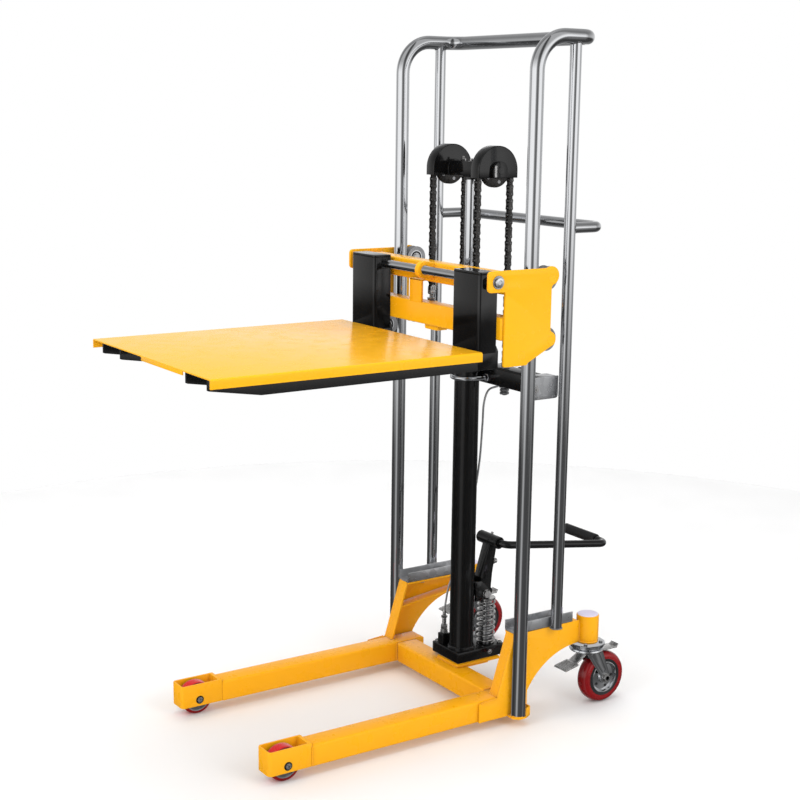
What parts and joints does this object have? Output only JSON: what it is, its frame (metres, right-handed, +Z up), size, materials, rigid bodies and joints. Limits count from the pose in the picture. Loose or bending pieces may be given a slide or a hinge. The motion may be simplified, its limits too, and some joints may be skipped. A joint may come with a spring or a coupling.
{
  "type": "platform stacker",
  "caption": "Manual stacker with a flat platform on two forks, lifted by a foot-pumped hydraulic ram and chains between two pairs of upright poles on a wheeled base.",
  "frame": {"origin": "floor level, under the middle of the overall width and overall length", "axes": "+Z up, +Y from the platform towards the operator, +X towards the operator's left hand"},
  "size_m": [0.576, 1.2146, 1.566],
  "materials": {
    "platform_yellow": "gloss",
    "frame_yellow": "gloss",
    "black_paint": "gloss",
    "polished_tube": "polished",
    "chromed_steel": "polished",
    "zinc_plate": "satin",
    "bare_steel": "satin",
    "chain_steel": "oiled",
    "lilac_cap": "matte",
    "red_roller": "gloss",
    "red_tread": "satin",
    "cable_sheath": "satin"
  },
  "bodies": {
    "frame": {"leg_tubes": "frame_yellow", "roller_boxes": "frame_yellow", "cross_tube": "frame_yellow", "side_brackets": "frame_yellow", "caster_bosses": "frame_yellow", "boss_caps": "lilac_cap", "tie_channels": "zinc_plate", "frame_bolts": "bare_steel", "front_hoop": "polished_tube", "rear_poles": "polished_tube", "handle_bar": "polished_tube", "mid_plates": "zinc_plate", "mid_channel": "black_paint", "u_bolt": "chromed_steel", "base_block": "black_paint", "cylinder_tube": "black_paint", "gland": "bare_steel", "rear_anchors": "bare_steel", "release_valve": "bare_steel", "release_cable": "cable_sheath", "pump_barrel": "black_paint", "pump_bracket": "black_paint", "caster_plates": "chromed_steel", "chain_rear": "chain_steel"},
    "ram": {"piston_rod": "chromed_steel", "yoke": "black_paint", "pulley_covers": "black_paint", "chain_wraps": "chain_steel", "chain_front": "chain_steel"},
    "pulley_r": {"pulley_r": "chain_steel"},
    "pulley_l": {"pulley_l": "chain_steel"},
    "carriage": {"side_plates": "platform_yellow", "upper_beam": "platform_yellow", "lower_beam": "platform_yellow", "shaft_hanger": "platform_yellow", "fork_shaft": "chromed_steel", "fork_l": "black_paint", "fork_r": "black_paint", "platform": "platform_yellow", "roller_pins": "bare_steel", "front_anchors": "bare_steel"},
    "pedal": {"pedal_arm": "black_paint", "pedal_bar": "black_paint"},
    "plunger": {"plunger": "bare_steel", "pump_spring": "bare_steel"},
    "release_lever": {"release_lever": "black_paint"},
    "guide_tr": {"guide_tr": "bare_steel"},
    "guide_tl": {"guide_tl": "bare_steel"},
    "guide_br": {"guide_br": "bare_steel"},
    "guide_bl": {"guide_bl": "bare_steel"},
    "guide_fr": {"guide_fr": "bare_steel"},
    "guide_fl": {"guide_fl": "bare_steel"},
    "load_wheel_l": {"load_wheel_l": "red_roller"},
    "swivel_l": {"caster_fork_l": "chromed_steel"},
    "caster_wheel_l": {"caster_wheel_l": "red_tread"},
    "brake_l": {"caster_brake_l": "bare_steel"},
    "load_wheel_r": {"load_wheel_r": "red_roller"},
    "swivel_r": {"caster_fork_r": "chromed_steel"},
    "caster_wheel_r": {"caster_wheel_r": "red_tread"},
    "brake_r": {"caster_brake_r": "bare_steel"}
  },
  "joints": [
    {"name": "lift", "type": "slide", "parent": "frame", "child": "ram", "axis": [0, 0, 1], "range_m": [-0.4005, 0.156], "deforming": ["chain_rear"]},
    {"name": "carriage_travel", "type": "slide", "parent": "ram", "child": "carriage", "axis": [0, 0, 1], "range_m": [-0.401, 0.1565], "deforming": ["chain_front"]},
    {"name": "pulley_r_turn", "type": "hinge", "parent": "ram", "child": "pulley_r", "pos_m": [0.087, 0.20366, 1.26], "axis": [1, 0, 0], "range_deg": [-200, 515]},
    {"name": "pulley_l_turn", "type": "hinge", "parent": "ram", "child": "pulley_l", "pos_m": [-0.087, 0.20366, 1.26], "axis": [1, 0, 0], "range_deg": [-200, 515]},
    {"name": "guide_tr_roll", "type": "hinge", "parent": "carriage", "child": "guide_tr", "pos_m": [0.256, 0.22266, 1.034], "axis": [1, 0, 0], "range_deg": [-1945, 760]},
    {"name": "guide_tl_roll", "type": "hinge", "parent": "carriage", "child": "guide_tl", "pos_m": [-0.256, 0.22266, 1.034], "axis": [1, 0, 0], "range_deg": [-1945, 760]},
    {"name": "guide_br_roll", "type": "hinge", "parent": "carriage", "child": "guide_br", "pos_m": [0.256, 0.22266, 0.9], "axis": [1, 0, 0], "range_deg": [-1945, 760]},
    {"name": "guide_bl_roll", "type": "hinge", "parent": "carriage", "child": "guide_bl", "pos_m": [-0.256, 0.22266, 0.9], "axis": [1, 0, 0], "range_deg": [-1945, 760]},
    {"name": "guide_fr_roll", "type": "hinge", "parent": "carriage", "child": "guide_fr", "pos_m": [0.256, 0.14266, 0.872], "axis": [1, 0, 0], "range_deg": [-760, 1945]},
    {"name": "guide_fl_roll", "type": "hinge", "parent": "carriage", "child": "guide_fl", "pos_m": [-0.256, 0.14266, 0.872], "axis": [1, 0, 0], "range_deg": [-760, 1945]},
    {"name": "load_wheel_r_roll", "type": "hinge", "parent": "frame", "child": "load_wheel_r", "pos_m": [0.209, -0.41134, 0.038], "axis": [1, 0, 0], "continuous": true},
    {"name": "caster_r_swivel", "type": "hinge", "parent": "frame", "child": "swivel_r", "pos_m": [0.238, 0.39866, 0.14], "axis": [0, 0, 1], "continuous": true},
    {"name": "caster_r_roll", "type": "hinge", "parent": "swivel_r", "child": "caster_wheel_r", "pos_m": [0.238, 0.44466, 0.0625], "axis": [1, 0, 0], "continuous": true},
    {"name": "brake_r_press", "type": "hinge", "parent": "swivel_r", "child": "brake_r", "pos_m": [0.238, 0.41766, 0.13], "axis": [1, 0, 0], "range_deg": [0, 9]},
    {"name": "load_wheel_l_roll", "type": "hinge", "parent": "frame", "child": "load_wheel_l", "pos_m": [-0.209, -0.41134, 0.038], "axis": [1, 0, 0], "continuous": true},
    {"name": "caster_l_swivel", "type": "hinge", "parent": "frame", "child": "swivel_l", "pos_m": [-0.238, 0.39866, 0.14], "axis": [0, 0, 1], "continuous": true},
    {"name": "caster_l_roll", "type": "hinge", "parent": "swivel_l", "child": "caster_wheel_l", "pos_m": [-0.238, 0.44466, 0.0625], "axis": [1, 0, 0], "continuous": true},
    {"name": "brake_l_press", "type": "hinge", "parent": "swivel_l", "child": "brake_l", "pos_m": [-0.238, 0.41766, 0.13], "axis": [1, 0, 0], "range_deg": [0, 9]},
    {"name": "pedal_press", "type": "hinge", "parent": "frame", "child": "pedal", "pos_m": [0, 0.25866, 0.238], "axis": [1, 0, 0], "range_deg": [-22, 0], "stiffness_Nm_per_rad": 20, "springref_deg": 28.65},
    {"name": "plunger_stroke", "type": "slide", "parent": "frame", "child": "plunger", "axis": [0, 0, 1], "range_m": [-0.008, 0], "deforming": ["pump_spring"]},
    {"name": "release_press", "type": "hinge", "parent": "frame", "child": "release_lever", "pos_m": [0.03, 0.28766, 0.79], "axis": [1, 0, 0], "range_deg": [-20, 0], "stiffness_Nm_per_rad": 0.2, "springref_deg": 22.92}
  ],
  "couplings": [
    {"joint": "carriage_travel", "follows": "lift", "ratio": 1},
    {"joint": "pulley_r_turn", "follows": "lift", "rad_per_m": -22.222},
    {"joint": "pulley_l_turn", "follows": "lift", "rad_per_m": -22.222},
    {"joint": "guide_tr_roll", "follows": "lift", "rad_per_m": 84.388},
    {"joint": "guide_tl_roll", "follows": "lift", "rad_per_m": 84.388},
    {"joint": "guide_br_roll", "follows": "lift", "rad_per_m": 84.388},
    {"joint": "guide_bl_roll", "follows": "lift", "rad_per_m": 84.388},
    {"joint": "guide_fr_roll", "follows": "lift", "rad_per_m": -84.388},
    {"joint": "guide_fl_roll", "follows": "lift", "rad_per_m": -84.388},
    {"joint": "plunger_stroke", "follows": "pedal_press", "m_per_rad": 0.02}
  ]
}
